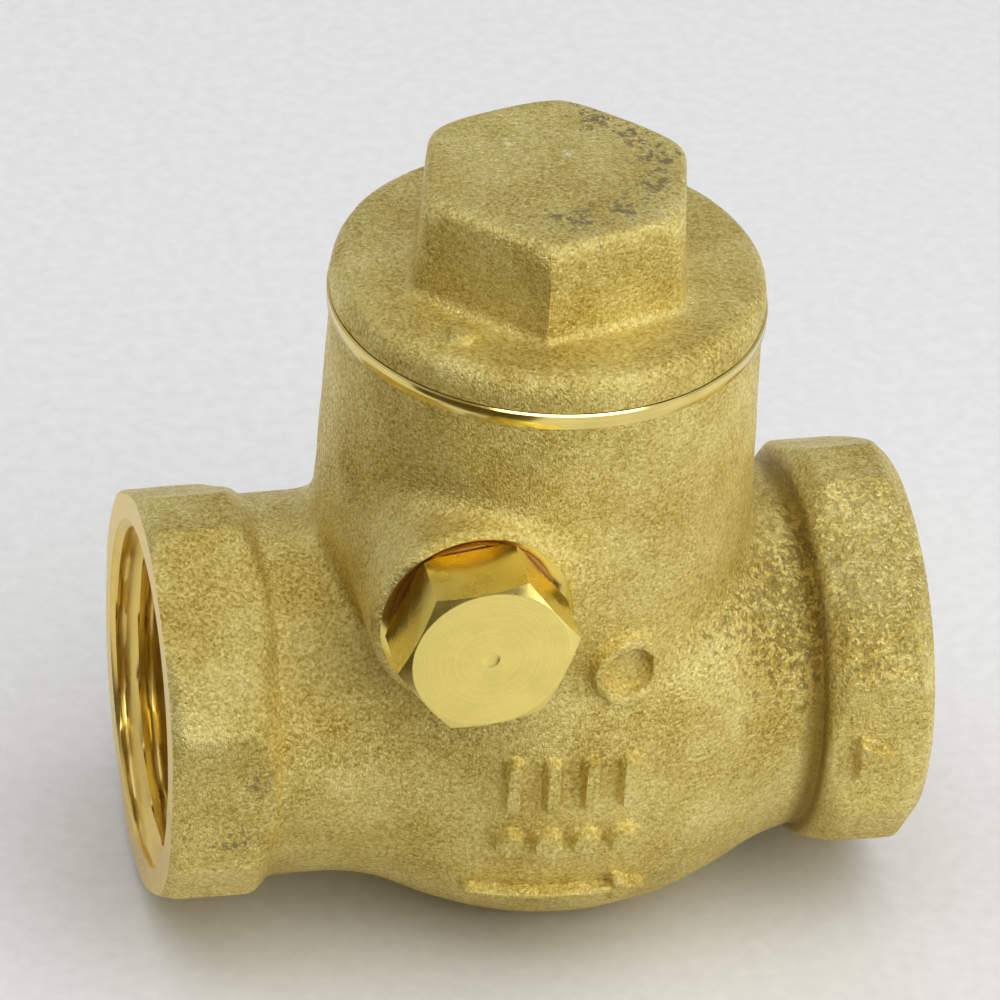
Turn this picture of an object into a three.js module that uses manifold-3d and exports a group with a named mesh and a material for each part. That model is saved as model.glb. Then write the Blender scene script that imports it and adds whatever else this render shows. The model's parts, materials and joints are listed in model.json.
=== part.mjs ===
// Swing check valve with threaded ends, a screwed bonnet and a side plug over the hinge pin.
// Units are millimetres. X runs with the flow from inlet to outlet, Z is up, and the plug faces -Y.
// Everything is drawn with the pipe axis at z = 0; the outer group lifts it onto its base flat.
import * as THREE from 'three';
import { mergeVertices } from 'three/addons/utils/BufferGeometryUtils.js';
import Module from 'manifold-3d';

const wasm = await Module();
wasm.setup();

// ---------------------------------------------------------------- driving dimensions
const PIPE_HEIGHT = 14.4;        // pipe axis above the base flat
const HEX_FLATS = 25;            // across flats of the wrench hexes on both ends
const INLET_END = 24.4;          // bonnet axis to the inlet face
const OUTLET_END = 23.8;         // bonnet axis to the outlet face
const HEX_LENGTH = 6.9;          // length of each wrench hex
const HEX_TURNED = 13.5;         // radius left after the hex corners are turned
const HEX_TILT = 2;              // degrees that the front of both hexes is turned up
const WAIST_IN = 12.0;           // waist radius between inlet hex and chamber
const WAIST_OUT = 11.5;          // waist radius between chamber and outlet hex
const SOCKET_RADIUS = 10.1;      // mean radius of the 1/2 inch taper thread, drawn plain
const SOCKET_MOUTH = 11.0;       // radius of the chamfered mouth
const SOCKET_DEPTH = 10.4;       // thread length
const PORT_RADIUS = 6.4;         // inlet port through the seat
const OUTLET_RADIUS = 9.5;       // outlet port

const NECK_TOP = 27.8;           // machined rim under the bonnet gasket
const NECK_TOP_RADIUS = 13.2;    // the cast neck narrows upward by its draft
const NECK_FOOT_RADIUS = 13.9;
const RIM_RADIUS = 13.4;
const CHAMBER_RADIUS = 11.2;
const CHAMBER_FLOOR = -11.2;
const HINGE_LEDGE = 9.6;         // top of the wall that carries the seat

const BELLY = { x: 1.6, length: 18.8, width: 14.6, depth: 15.0, power: 2.5 };

const BONNET_THREAD_RADIUS = 11.0;
const BONNET_THREAD_LENGTH = 6.4;
const BONNET_GASKET = 0.4;
const FLANGE_RADIUS = 13.3;
const FLANGE_THICKNESS = 2.2;
const BONNET_HEX_HEIGHT = 6.4;
const BONNET_HEX_CORNER = 9.6;   // corner radius at the foot, narrowing upward by the draft
const BONNET_HEX_TURN = THREE.MathUtils.degToRad(-14);

const HINGE = { x: -6.5, z: 14.2 };   // hinge pin axis, parallel to Y
const PIN_RADIUS = 1.2;
const PIN_CLEARANCE = 0.1;
const PIN_BACK = 10.8;           // end of the pin in its blind hole in the back wall
const PLUG_SEAT = -12.9;         // floor of the spotface that the plug gasket lies on
const PLUG_GASKET = 0.4;
const PLUG_FRONT = -17.9;
const PLUG_HEX_CORNER = 5.6;
const PLUG_HEX_TURN = THREE.MathUtils.degToRad(21.9);
const PLUG_THREAD_RADIUS = 3.4;
const SPOTFACE_RADIUS = 5.9;
const BOSS_RADIUS = 6.4;
const BOSS_FRONT = -13.8;

const SEAT_FACE = -6.2;          // closing plane of the seat ring
const SEAT_RADIUS = 7.5;
const SEAT_HEIGHT = 1.6;
const DISC_RADIUS = 8.1;
const SEAL_RADIUS = 7.3;
const SEAL_GAP = 0.15;           // seal to seat, closed
const FIT_GAP = 0.1;             // between neighbouring pieces of the disc stack
const STUD_RADIUS = 1.7;

// ---------------------------------------------------------------- geometry helpers
const SMOOTH = 56;
const SMALL = 28;

function solid(geometry) {
  const source = geometry.clone();
  source.deleteAttribute('normal');
  source.deleteAttribute('uv');
  const merged = mergeVertices(source, 1e-4);
  const index = merged.index.array;
  const kept = [];
  for (let i = 0; i < index.length; i += 3) {
    const [a, b, c] = [index[i], index[i + 1], index[i + 2]];
    if (a !== b && b !== c && c !== a) {
      kept.push(a, b, c);
    }
  }
  return new wasm.Manifold(new wasm.Mesh({
    numProp: 3,
    vertProperties: new Float32Array(merged.attributes.position.array),
    triVerts: new Uint32Array(kept),
  }));
}

function toMesh(name, manifold, material) {
  const { vertProperties, triVerts } = manifold.getMesh();
  const geometry = new THREE.BufferGeometry();
  geometry.setAttribute('position', new THREE.BufferAttribute(new Float32Array(vertProperties), 3));
  geometry.setIndex(new THREE.BufferAttribute(new Uint32Array(triVerts), 1));
  geometry.computeVertexNormals();
  const mesh = new THREE.Mesh(geometry, material);
  mesh.name = name;
  return mesh;
}

// A turned solid. The profile is [radius, height along the axis] from the low end to the high end.
function turnedSolid(profile, axis, segments = SMOOTH) {
  const points = profile.map(([radius, height]) => new THREE.Vector2(radius, height));
  const geometry = new THREE.LatheGeometry(points, segments);
  if (axis === 'x') {
    geometry.rotateZ(-Math.PI / 2);
  }
  if (axis === 'z') {
    geometry.rotateX(Math.PI / 2);
  }
  return solid(geometry);
}

function rod(radius, low, high, axis, segments) {
  return turnedSolid([[0, low], [radius, low], [radius, high], [0, high]], axis, segments);
}

function ring(inner, outer, low, high, axis, segments) {
  return turnedSolid([
    [inner, low], [outer, low], [outer, high], [inner, high], [inner, low],
  ], axis, segments);
}

function block(low, high) {
  const size = high.map((value, i) => value - low[i]);
  const centre = high.map((value, i) => (value + low[i]) / 2);
  const geometry = new THREE.BoxGeometry(...size);
  geometry.translate(...centre);
  return solid(geometry);
}

// A six-sided prism between two heights. With no turn its first corner points to -Y on a Z axis
// and to +Z on the others.
function hexPrism(lowCorner, highCorner, low, high, axis, turn = 0) {
  const geometry = new THREE.CylinderGeometry(highCorner, lowCorner, high - low, 6);
  geometry.translate(0, (low + high) / 2, 0);
  geometry.rotateY(turn);
  if (axis === 'x') {
    geometry.rotateZ(-Math.PI / 2);
  }
  if (axis === 'z') {
    geometry.rotateX(Math.PI / 2);
  }
  return solid(geometry);
}

function movedTo(manifold, x, y, z) {
  return manifold.translate([x, y, z]);
}

// A solid drawn towards +X, turned about Z to point to -X when the side is negative.
function facing(manifold, side) {
  return side < 0 ? manifold.rotate([0, 0, 180]) : manifold;
}

// ---------------------------------------------------------------- materials
function metal(color, roughness) {
  return new THREE.MeshStandardMaterial({ color, roughness, metalness: 1 });
}

const castBrass = metal(0xb09a55, 0.62);
const machinedBrass = metal(0xd9b85a, 0.28);
const steel = metal(0xb8b8b4, 0.35);
const rubber = new THREE.MeshStandardMaterial({ color: 0x1d1d1d, roughness: 0.85, metalness: 0 });
const fibre = new THREE.MeshStandardMaterial({ color: 0x6e3a28, roughness: 0.8, metalness: 0 });
const copper = metal(0xb5683c, 0.4);

// ---------------------------------------------------------------- valve body
// Both end hexes have a corner near the top and one near the bottom, trimmed round by the lathe.
function endHex(end, side) {
  const corner = HEX_FLATS / Math.sqrt(3);
  const inner = end - HEX_LENGTH;
  const chamfer = 0.4;
  const foot = 1.4;
  const prism = hexPrism(corner, corner, inner, end, 'x');
  const trim = turnedSolid([
    [0, inner], [HEX_TURNED - foot, inner], [HEX_TURNED, inner + foot], [HEX_TURNED, end - chamfer],
    [HEX_TURNED - chamfer, end], [0, end],
  ], 'x');
  return facing(prism.intersect(trim), side).rotate([-HEX_TILT, 0, 0]);
}

// The belly is an ellipse along the flow and a squarer curve across it.
function belly() {
  const geometry = new THREE.SphereGeometry(1, 44, 26);
  geometry.rotateZ(Math.PI / 2);
  const place = geometry.attributes.position;
  for (let i = 0; i < place.count; i += 1) {
    const spread = Math.hypot(place.getY(i), place.getZ(i));
    const angle = Math.atan2(place.getZ(i), place.getY(i));
    const across = Math.abs(Math.cos(angle)) / BELLY.width;
    const down = Math.abs(Math.sin(angle)) / BELLY.depth;
    const reach = (across ** BELLY.power + down ** BELLY.power) ** (-1 / BELLY.power);
    place.setXYZ(
      i,
      BELLY.x + BELLY.length * place.getX(i),
      spread * reach * Math.cos(angle),
      spread * reach * Math.sin(angle),
    );
  }
  return solid(geometry);
}

function neck() {
  const foot = -4;
  const lip = 0.35;
  return turnedSolid([
    [0, foot], [NECK_FOOT_RADIUS - 0.4, foot], [NECK_FOOT_RADIUS, foot + 8],
    [NECK_TOP_RADIUS, NECK_TOP - 2 * lip], [RIM_RADIUS, NECK_TOP - lip],
    [RIM_RADIUS, NECK_TOP], [0, NECK_TOP],
  ], 'z');
}

// The boss stands out along -Y, so its profile runs along a Y axis placed at the hinge pin.
function plugBoss() {
  const root = -4;
  const edge = 0.4;
  return movedTo(turnedSolid([
    [0, BOSS_FRONT], [BOSS_RADIUS - edge, BOSS_FRONT], [BOSS_RADIUS, BOSS_FRONT + edge],
    [BOSS_RADIUS, root], [0, root],
  ], 'y'), HINGE.x, 0, HINGE.z);
}

function bodyOutside() {
  return belly()
    .add(neck())
    .add(rod(WAIST_IN, -INLET_END + HEX_LENGTH - 0.5, -8, 'x'))
    .add(rod(WAIST_OUT, 8, OUTLET_END - HEX_LENGTH + 0.5, 'x'))
    .add(endHex(INLET_END, -1))
    .add(endHex(OUTLET_END, 1))
    .add(plugBoss())
    .intersect(block([-INLET_END, -40, -PIPE_HEIGHT], [OUTLET_END, 40, NECK_TOP]));
}

// One threaded socket, its mouth chamfered, opening past the end face.
function socket(end, side) {
  const bottom = end - SOCKET_DEPTH;
  const chamfer = 0.9;
  return facing(turnedSolid([
    [0, bottom], [SOCKET_RADIUS, bottom], [SOCKET_RADIUS, end - chamfer],
    [SOCKET_MOUTH, end], [SOCKET_MOUTH, end + 1], [0, end + 1],
  ], 'x'), side);
}

// The chamber is round; below the hinge ledge it stops at the wall that carries the seat.
function chamber() {
  const wall = SEAT_FACE - SEAT_HEIGHT;
  const round = turnedSolid([
    [0, CHAMBER_FLOOR], [CHAMBER_RADIUS - 4.2, CHAMBER_FLOOR], [CHAMBER_RADIUS, CHAMBER_FLOOR + 4.2],
    [CHAMBER_RADIUS, NECK_TOP - 0.8], [CHAMBER_RADIUS + 0.5, NECK_TOP - 0.3],
    [CHAMBER_RADIUS + 0.5, NECK_TOP + 1], [0, NECK_TOP + 1],
  ], 'z');
  return round.subtract(block([-30, -30, -30], [wall, 30, HINGE_LEDGE]));
}

function seatRing() {
  return turnedSolid([
    [PORT_RADIUS - 0.5, SEAT_FACE - SEAT_HEIGHT - 0.5], [SEAT_RADIUS + 0.6, SEAT_FACE - SEAT_HEIGHT - 0.5],
    [SEAT_RADIUS, SEAT_FACE], [PORT_RADIUS - 0.5, SEAT_FACE],
    [PORT_RADIUS - 0.5, SEAT_FACE - SEAT_HEIGHT - 0.5],
  ], 'x');
}

// The plug's hole runs in from the spotface, and the pin's blind hole into the back wall.
function hingeHoles() {
  const spotface = rod(SPOTFACE_RADIUS, PLUG_FRONT, PLUG_SEAT, 'y', SMALL);
  const plugHole = rod(PLUG_THREAD_RADIUS + 0.1, PLUG_FRONT, 0, 'y', SMALL);
  const pinHole = rod(PIN_RADIUS + PIN_CLEARANCE, 0, PIN_BACK + 0.3, 'y', SMALL);
  return movedTo(spotface.add(plugHole).add(pinHole), HINGE.x, 0, HINGE.z);
}

function valveBody() {
  return bodyOutside()
    .subtract(chamber())
    .add(seatRing())
    .subtract(rod(PORT_RADIUS, -INLET_END + SOCKET_DEPTH - 1, SEAT_FACE + 1, 'x'))
    .subtract(rod(OUTLET_RADIUS, 4, OUTLET_END - SOCKET_DEPTH + 1, 'x'))
    .subtract(socket(INLET_END, -1))
    .subtract(socket(OUTLET_END, 1))
    .subtract(hingeHoles());
}

// ---------------------------------------------------------------- bonnet and its gasket
// The bonnet is drawn from the underside of its flange, hollow inside the thread.
function bonnet() {
  const edge = 0.7;
  const top = FLANGE_THICKNESS + BONNET_HEX_HEIGHT;
  const hollow = BONNET_THREAD_RADIUS - 2.4;
  const flange = turnedSolid([
    [0, -BONNET_THREAD_LENGTH], [BONNET_THREAD_RADIUS - 0.6, -BONNET_THREAD_LENGTH],
    [BONNET_THREAD_RADIUS, -BONNET_THREAD_LENGTH + 0.6], [BONNET_THREAD_RADIUS, 0],
    [FLANGE_RADIUS - 0.2, 0], [FLANGE_RADIUS, 0.2], [FLANGE_RADIUS, FLANGE_THICKNESS - edge],
    [FLANGE_RADIUS - 0.3 * edge, FLANGE_THICKNESS - 0.3 * edge], [FLANGE_RADIUS - edge, FLANGE_THICKNESS],
    [0, FLANGE_THICKNESS],
  ], 'z');
  const draft = 0.45;
  const prism = hexPrism(
    BONNET_HEX_CORNER, BONNET_HEX_CORNER - draft, FLANGE_THICKNESS - 0.5, top, 'z', BONNET_HEX_TURN,
  );
  const trim = turnedSolid([
    [0, 0], [BONNET_HEX_CORNER - 0.3, 0], [BONNET_HEX_CORNER - 0.3 - draft, top - 0.8],
    [BONNET_HEX_CORNER - 1.1 - draft, top], [0, top],
  ], 'z');
  const inside = turnedSolid([
    [0, -BONNET_THREAD_LENGTH - 1], [hollow, -BONNET_THREAD_LENGTH - 1],
    [hollow, -1.2], [hollow - 1.2, 0], [0, 0],
  ], 'z', SMALL);
  return flange.add(prism.intersect(trim)).subtract(inside);
}

function bonnetGasket() {
  return ring(BONNET_THREAD_RADIUS + 0.9, RIM_RADIUS - 0.9, 0, BONNET_GASKET, 'z');
}

// ---------------------------------------------------------------- plug, its gasket and the hinge pin
const PLUG_UNDERSIDE = PLUG_SEAT - PLUG_GASKET - 0.1;
const PLUG_INNER_END = -8.4;
const PIN_FRONT = PLUG_INNER_END - 2.4;

// The hex head is trimmed round at its front corners; the shank has a blind hole for the pin.
function hingePlug() {
  const turnedCorner = PLUG_HEX_CORNER - 0.15;
  const prism = hexPrism(PLUG_HEX_CORNER, PLUG_HEX_CORNER, PLUG_FRONT, PLUG_UNDERSIDE, 'y', PLUG_HEX_TURN);
  const trim = turnedSolid([
    [0, PLUG_FRONT], [PLUG_HEX_CORNER - 0.85, PLUG_FRONT], [turnedCorner, PLUG_FRONT + 0.4],
    [turnedCorner, PLUG_UNDERSIDE], [0, PLUG_UNDERSIDE],
  ], 'y', SMOOTH);
  const shank = turnedSolid([
    [0, PLUG_UNDERSIDE - 0.5], [PLUG_THREAD_RADIUS, PLUG_UNDERSIDE - 0.5],
    [PLUG_THREAD_RADIUS, PLUG_INNER_END - 0.4], [PLUG_THREAD_RADIUS - 0.4, PLUG_INNER_END],
    [0, PLUG_INNER_END],
  ], 'y', SMALL);
  const pinHole = rod(PIN_RADIUS + PIN_CLEARANCE, PIN_FRONT - 0.3, 0, 'y', SMALL);
  return prism.intersect(trim).add(shank).subtract(pinHole);
}

function plugGasket() {
  const front = PLUG_SEAT - PLUG_GASKET;
  return ring(PLUG_THREAD_RADIUS + 0.2, SPOTFACE_RADIUS - 0.8, front, PLUG_SEAT - 0.05, 'y', SMALL);
}

function hingePin() {
  const edge = 0.2;
  return turnedSolid([
    [0, PIN_FRONT], [PIN_RADIUS - edge, PIN_FRONT], [PIN_RADIUS, PIN_FRONT + edge],
    [PIN_RADIUS, PIN_BACK - edge], [PIN_RADIUS - edge, PIN_BACK], [0, PIN_BACK],
  ], 'y', SMALL);
}

// ---------------------------------------------------------------- clapper: arm, disc and what holds the seal
// The disc stack is drawn on the pipe axis, each height being an x in the closed position.
const SEAL_FRONT = SEAT_FACE + SEAL_GAP;
const SEAL_THICKNESS = 1.2;
const PLATE_FRONT = SEAL_FRONT + SEAL_THICKNESS + FIT_GAP;
const PLATE_BACK = PLATE_FRONT + 1.2;
const EYE_FRONT = PLATE_BACK + FIT_GAP;
const EYE_BACK = EYE_FRONT + 1.5;
const WASHER_FRONT = EYE_BACK + FIT_GAP;
const WASHER_BACK = WASHER_FRONT + 0.5;
const NUT_FRONT = WASHER_BACK + FIT_GAP;
const NUT_BACK = NUT_FRONT + 1.4;
const STUD_END = NUT_BACK + 0.25;
const SCREW_RADIUS = 0.9;
const RETAINER_THICKNESS = 0.6;

function disc() {
  const rim = PLATE_FRONT - 0.7;
  return turnedSolid([
    [0, PLATE_FRONT], [SEAL_RADIUS + FIT_GAP, PLATE_FRONT], [SEAL_RADIUS + FIT_GAP, rim], [DISC_RADIUS, rim],
    [DISC_RADIUS, PLATE_BACK - 0.4], [DISC_RADIUS - 0.4, PLATE_BACK],
    [STUD_RADIUS, PLATE_BACK], [STUD_RADIUS, STUD_END], [0, STUD_END],
  ], 'x').subtract(rod(SCREW_RADIUS + 0.1, PLATE_FRONT - 1, EYE_BACK, 'x', SMALL));
}

function discSeal() {
  return ring(SCREW_RADIUS + 0.4, SEAL_RADIUS, SEAL_FRONT, SEAL_FRONT + SEAL_THICKNESS, 'x');
}

function sealRetainer() {
  const back = SEAL_FRONT - FIT_GAP;
  return ring(SCREW_RADIUS + 0.2, 4.6, back - RETAINER_THICKNESS, back, 'x', SMALL);
}

function sealScrew() {
  const seat = SEAL_FRONT - FIT_GAP - RETAINER_THICKNESS - FIT_GAP;
  const head = 1.1;
  const slot = block([seat - head - 1, -0.25, -3], [seat - head + 0.5, 0.25, 3]);
  return turnedSolid([
    [0, seat - head], [1.5, seat - head], [2.0, seat - head + 0.4], [2.0, seat],
    [SCREW_RADIUS, seat], [SCREW_RADIUS, EYE_BACK - 0.5], [0, EYE_BACK - 0.5],
  ], 'x', SMALL).subtract(slot);
}

function discWasher() {
  return ring(STUD_RADIUS + 0.2, 3.4, WASHER_FRONT, WASHER_BACK, 'x', SMALL);
}

function discNut() {
  const corner = 2.9;
  return hexPrism(corner, corner, NUT_FRONT, NUT_BACK, 'x', Math.PI / 6)
    .subtract(rod(STUD_RADIUS + 0.15, NUT_FRONT - 1, NUT_BACK + 1, 'x', SMALL));
}

// The arm hangs from its hub on the pin and holds the disc's stud in its eye.
function hingeArm() {
  const hubRadius = 2.3;
  const hubHalfWidth = 3.2;
  const barHalfWidth = 2.2;
  const hub = movedTo(rod(hubRadius, -hubHalfWidth, hubHalfWidth, 'y', SMALL), HINGE.x, 0, HINGE.z);
  const eye = rod(3.5, EYE_FRONT, EYE_BACK, 'x', SMALL);
  const side = new THREE.Shape();
  side.moveTo(EYE_FRONT, 1);
  side.lineTo(EYE_BACK, 1);
  side.lineTo(EYE_BACK, 10.2);
  side.lineTo(HINGE.x + 0.6, HINGE.z + 1.9);
  side.lineTo(HINGE.x, HINGE.z);
  side.lineTo(EYE_FRONT, 10.2);
  const bar = new THREE.ExtrudeGeometry(side, { depth: 2 * barHalfWidth, bevelEnabled: false });
  bar.rotateX(Math.PI / 2);
  bar.translate(0, barHalfWidth, 0);
  const pinHole = rod(PIN_RADIUS + PIN_CLEARANCE, -5, 5, 'y', SMALL);
  return hub
    .add(eye)
    .add(solid(bar))
    .subtract(movedTo(pinHole, HINGE.x, 0, HINGE.z))
    .subtract(rod(STUD_RADIUS + 0.15, EYE_FRONT - 1, EYE_BACK + 1, 'x', SMALL));
}

// ---------------------------------------------------------------- assembly
const valve = new THREE.Group();
valve.position.z = PIPE_HEIGHT;
valve.add(toMesh('body', valveBody(), castBrass));

const bonnetGroup = new THREE.Group();
bonnetGroup.position.z = NECK_TOP + 0.05;
bonnetGroup.add(toMesh('bonnet_gasket', bonnetGasket(), fibre));
const bonnetMesh = toMesh('bonnet', bonnet(), castBrass);
bonnetMesh.position.z = BONNET_GASKET + 0.05;
bonnetGroup.add(bonnetMesh);
valve.add(bonnetGroup);

const hingeGroup = new THREE.Group();
hingeGroup.position.set(HINGE.x, 0, HINGE.z);
hingeGroup.add(toMesh('hinge_plug', hingePlug(), machinedBrass));
hingeGroup.add(toMesh('plug_gasket', plugGasket(), copper));
hingeGroup.add(toMesh('hinge_pin', hingePin(), steel));
valve.add(hingeGroup);

valve.add(toMesh('hinge_arm', hingeArm(), castBrass));
valve.add(toMesh('disc', disc(), machinedBrass));
valve.add(toMesh('disc_seal', discSeal(), rubber));
valve.add(toMesh('seal_retainer', sealRetainer(), machinedBrass));
valve.add(toMesh('seal_screw', sealScrew(), machinedBrass));
valve.add(toMesh('disc_washer', discWasher(), machinedBrass));
valve.add(toMesh('disc_nut', discNut(), machinedBrass));

const model = new THREE.Group();
model.add(valve);
export default model;
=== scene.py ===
import json
import math

import bpy
import numpy as np
from mathutils import Matrix, Vector, noise


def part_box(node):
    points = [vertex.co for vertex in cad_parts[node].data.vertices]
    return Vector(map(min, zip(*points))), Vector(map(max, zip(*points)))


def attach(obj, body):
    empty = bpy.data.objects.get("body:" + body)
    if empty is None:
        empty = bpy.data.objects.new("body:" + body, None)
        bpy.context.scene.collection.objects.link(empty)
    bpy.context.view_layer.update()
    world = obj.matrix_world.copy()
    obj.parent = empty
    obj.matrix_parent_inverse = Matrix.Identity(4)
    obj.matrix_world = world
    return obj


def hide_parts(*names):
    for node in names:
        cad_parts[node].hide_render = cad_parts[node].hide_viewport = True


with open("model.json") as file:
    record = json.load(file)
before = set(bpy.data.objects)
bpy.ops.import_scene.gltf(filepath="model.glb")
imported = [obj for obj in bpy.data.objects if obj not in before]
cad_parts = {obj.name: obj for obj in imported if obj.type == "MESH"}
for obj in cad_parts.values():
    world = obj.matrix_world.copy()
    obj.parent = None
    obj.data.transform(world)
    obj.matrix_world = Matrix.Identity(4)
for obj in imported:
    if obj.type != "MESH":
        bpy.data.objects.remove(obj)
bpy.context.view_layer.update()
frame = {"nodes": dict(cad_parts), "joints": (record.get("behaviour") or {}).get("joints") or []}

# Swing check valve. Shapes are worked out in millimetres, in coordinates whose origin is on the
# pipe axis below the bonnet, and moved into the frame, in metres, when a mesh is made.

MM = 0.001

# ------------------------------------------------------------------ sizes read from the frame


def millimetres(corner):
    return np.array(corner) / MM


JOINTS = {joint["name"]: joint for joint in frame["joints"]}
PIPE_HEIGHT = JOINTS["disc_spin"]["pos_m"][2] / MM
HINGE_X = JOINTS["clapper_swing"]["pos_m"][0] / MM
HINGE_Z = JOINTS["clapper_swing"]["pos_m"][2] / MM - PIPE_HEIGHT
BODY_LOW, BODY_HIGH = (millimetres(corner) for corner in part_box("body"))
BONNET_LOW, BONNET_HIGH = (millimetres(corner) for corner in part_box("bonnet"))
PLUG_LOW, PLUG_HIGH = (millimetres(corner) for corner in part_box("hinge_plug"))
PIN_LOW, PIN_HIGH = (millimetres(corner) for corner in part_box("hinge_pin"))
GASKET_TOP = millimetres(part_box("bonnet_gasket")[1])[2]

END_IN = -BODY_LOW[0]
END_OUT = BODY_HIGH[0]
NECK_TOP = BODY_HIGH[2] - PIPE_HEIGHT
BONNET_TOP = BONNET_HIGH[2] - PIPE_HEIGHT
FLANGE_BASE = GASKET_TOP + 0.05 - PIPE_HEIGHT
PLUG_FRONT = PLUG_LOW[1]

HEX_APOTHEM = 12.5
NECK_FOOT_RADIUS = 13.85
NECK_TOP_RADIUS = 13.15
RIM_RADIUS = 13.4
CHAMBER_RADIUS = 11.2
PORT_RADIUS = 6.4
OUTLET_RADIUS = 9.5
SEAT_FACE = -6.2
SEAT_RADIUS = 7.5
SOCKET_DEPTH = 10.4
MOUTH_RADIUS = 11.0
PIPE_PITCH = 25.4 / 14
BOSS_RADIUS = 6.45
BOSS_EDGE = 0.5
BOSS_FRONT = -13.85
SPOTFACE_RADIUS = 5.9
SPOTFACE_FLOOR = -12.9
PLUG_THREAD_RADIUS = 3.4
PIN_HOLE_RADIUS = 1.3
BONNET_PITCH = 1.5
GASKET_SEAT_RADIUS = 12.6
SEAM = 0.05
CUTTER_REACH = 20
HALF_ROOT_TWO = 0.7071


# ------------------------------------------------------------------ distance fields and skins


def blend_union(a, b, width):
    """Union of two distances with a fillet between them."""
    h = np.clip(0.5 + 0.5 * (b - a) / width, 0, 1)
    return b * (1 - h) + a * h - width * h * (1 - h)


def blend_cut(a, b, width):
    """Intersection of two distances with a rounded edge between them."""
    return -blend_union(-a, -b, width)


def round_cut(a, b, radius):
    """Intersection of two distances whose edge has that radius."""
    corner = np.hypot(np.maximum(a + radius, 0), np.maximum(b + radius, 0))
    return np.minimum(np.maximum(a, b), -radius) + corner


def cylinder_field(u, v, along, radius, low, high, edge):
    side = np.hypot(u, v) - radius
    caps = np.abs(along - (low + high) / 2) - (high - low) / 2
    return blend_cut(side, caps, edge)


def hex_field(u, v, apothem, corner):
    """Hexagon with a corner on the v axis."""
    u = np.abs(u)
    v = np.abs(v)
    slanted = u * 0.5 + v * math.sqrt(0.75)
    return blend_cut(u, slanted, corner) - apothem


def grid_cells(values):
    """One vertex for each cell that the surface crosses, and one quad for each crossed grid edge."""
    inside = values < 0
    shape = np.array(values.shape) - 1
    count = int(np.prod(shape))
    strides = np.array([shape[1] * shape[2], shape[2], 1])
    total = np.zeros((count, 3))
    hits = np.zeros(count)
    quads = []
    for axis in range(3):
        start = [slice(None)] * 3
        stop = [slice(None)] * 3
        start[axis] = slice(None, -1)
        stop[axis] = slice(1, None)
        near = values[tuple(start)]
        far = values[tuple(stop)]
        index = np.argwhere(inside[tuple(start)] != inside[tuple(stop)])
        others = [a for a in range(3) if a != axis]
        keep = np.all([(index[:, a] > 0) & (index[:, a] < shape[a]) for a in others], axis=0)
        index = index[keep]
        a = near[tuple(index.T)]
        b = far[tuple(index.T)]
        point = index.astype(float)
        point[:, axis] += a / (a - b)
        corners = []
        for du, dv in ((0, 0), (-1, 0), (-1, -1), (0, -1)):
            cell = index.copy()
            cell[:, others[0]] += du
            cell[:, others[1]] += dv
            flat = cell @ strides
            corners.append(flat)
            hits += np.bincount(flat, minlength=count)
            for k in range(3):
                total[:, k] += np.bincount(flat, weights=point[:, k], minlength=count)
        quad = np.stack(corners, axis=1)
        flip = (a < 0) if axis != 1 else (a > 0)
        quad[~flip] = quad[~flip][:, ::-1]
        quads.append(quad)
    used = np.flatnonzero(hits)
    order = np.full(count, -1)
    order[used] = np.arange(len(used))
    vertices = total[used] / hits[used][:, None]
    return vertices, order[np.concatenate(quads)]


def slope(field, points, reach=0.02):
    """The field's value, its gradient and the gradient's length at points."""
    gradient = np.empty_like(points)
    for k in range(3):
        step = np.zeros(3)
        step[k] = reach
        ahead = field(*(points + step).T)
        behind = field(*(points - step).T)
        gradient[:, k] = (ahead - behind) / (2 * reach)
    size = np.linalg.norm(gradient, axis=1)
    return field(*points.T), gradient, np.maximum(size, 1e-6)


def skin(field, low, high, step):
    """A closed quad mesh of the surface where the field is zero, and its outward normals."""
    axes = [np.arange(low[k], high[k] + step, step) for k in range(3)]
    values = np.empty([len(a) for a in axes])
    for i, x in enumerate(axes[0]):
        y, z = np.meshgrid(axes[1], axes[2], indexing="ij")
        values[i] = field(np.full_like(y, x), y, z)
    cells, quads = grid_cells(values)
    points = np.array(low) + cells * step
    for _ in range(3):
        value, gradient, size = slope(field, points)
        move = np.clip(value / size, -0.5 * step, 0.5 * step)
        points = points - gradient / size[:, None] * move[:, None]
    _, gradient, size = slope(field, points)
    return points, quads, gradient / size[:, None]


def lumps(points, scale, seed):
    """Smooth noise from -1 to 1 at points, with features about scale millimetres across."""
    shift = Vector((seed * 17.3, seed * 5.1, seed * 9.7))
    return np.array([noise.noise(Vector(p) / scale + shift) for p in points])


# ------------------------------------------------------------------ mesh making


def make_object(name, points, faces, material, smooth_angle=35):
    """A Blender object from millimetre coordinates about the pipe axis."""
    mesh = bpy.data.meshes.new(name)
    lifted = (np.asarray(points, float) + [0, 0, PIPE_HEIGHT]) * MM
    mesh.from_pydata(lifted.tolist(), [], [list(map(int, f)) for f in faces])
    mesh.materials.append(material)
    mesh.polygons.foreach_set("use_smooth", [True] * len(mesh.polygons))
    mesh.set_sharp_from_angle(angle=math.radians(smooth_angle))
    mesh.update()
    thing = bpy.data.objects.new(name, mesh)
    bpy.context.scene.collection.objects.link(thing)
    return thing


def axis_frame(axis):
    """The two directions around an axis and the axis itself, right-handed."""
    return {
        "x": (Vector((0, 1, 0)), Vector((0, 0, 1)), Vector((1, 0, 0))),
        "y": (Vector((0, 0, 1)), Vector((1, 0, 0)), Vector((0, 1, 0))),
        "z": (Vector((1, 0, 0)), Vector((0, 1, 0)), Vector((0, 0, 1))),
    }[axis]


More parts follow.
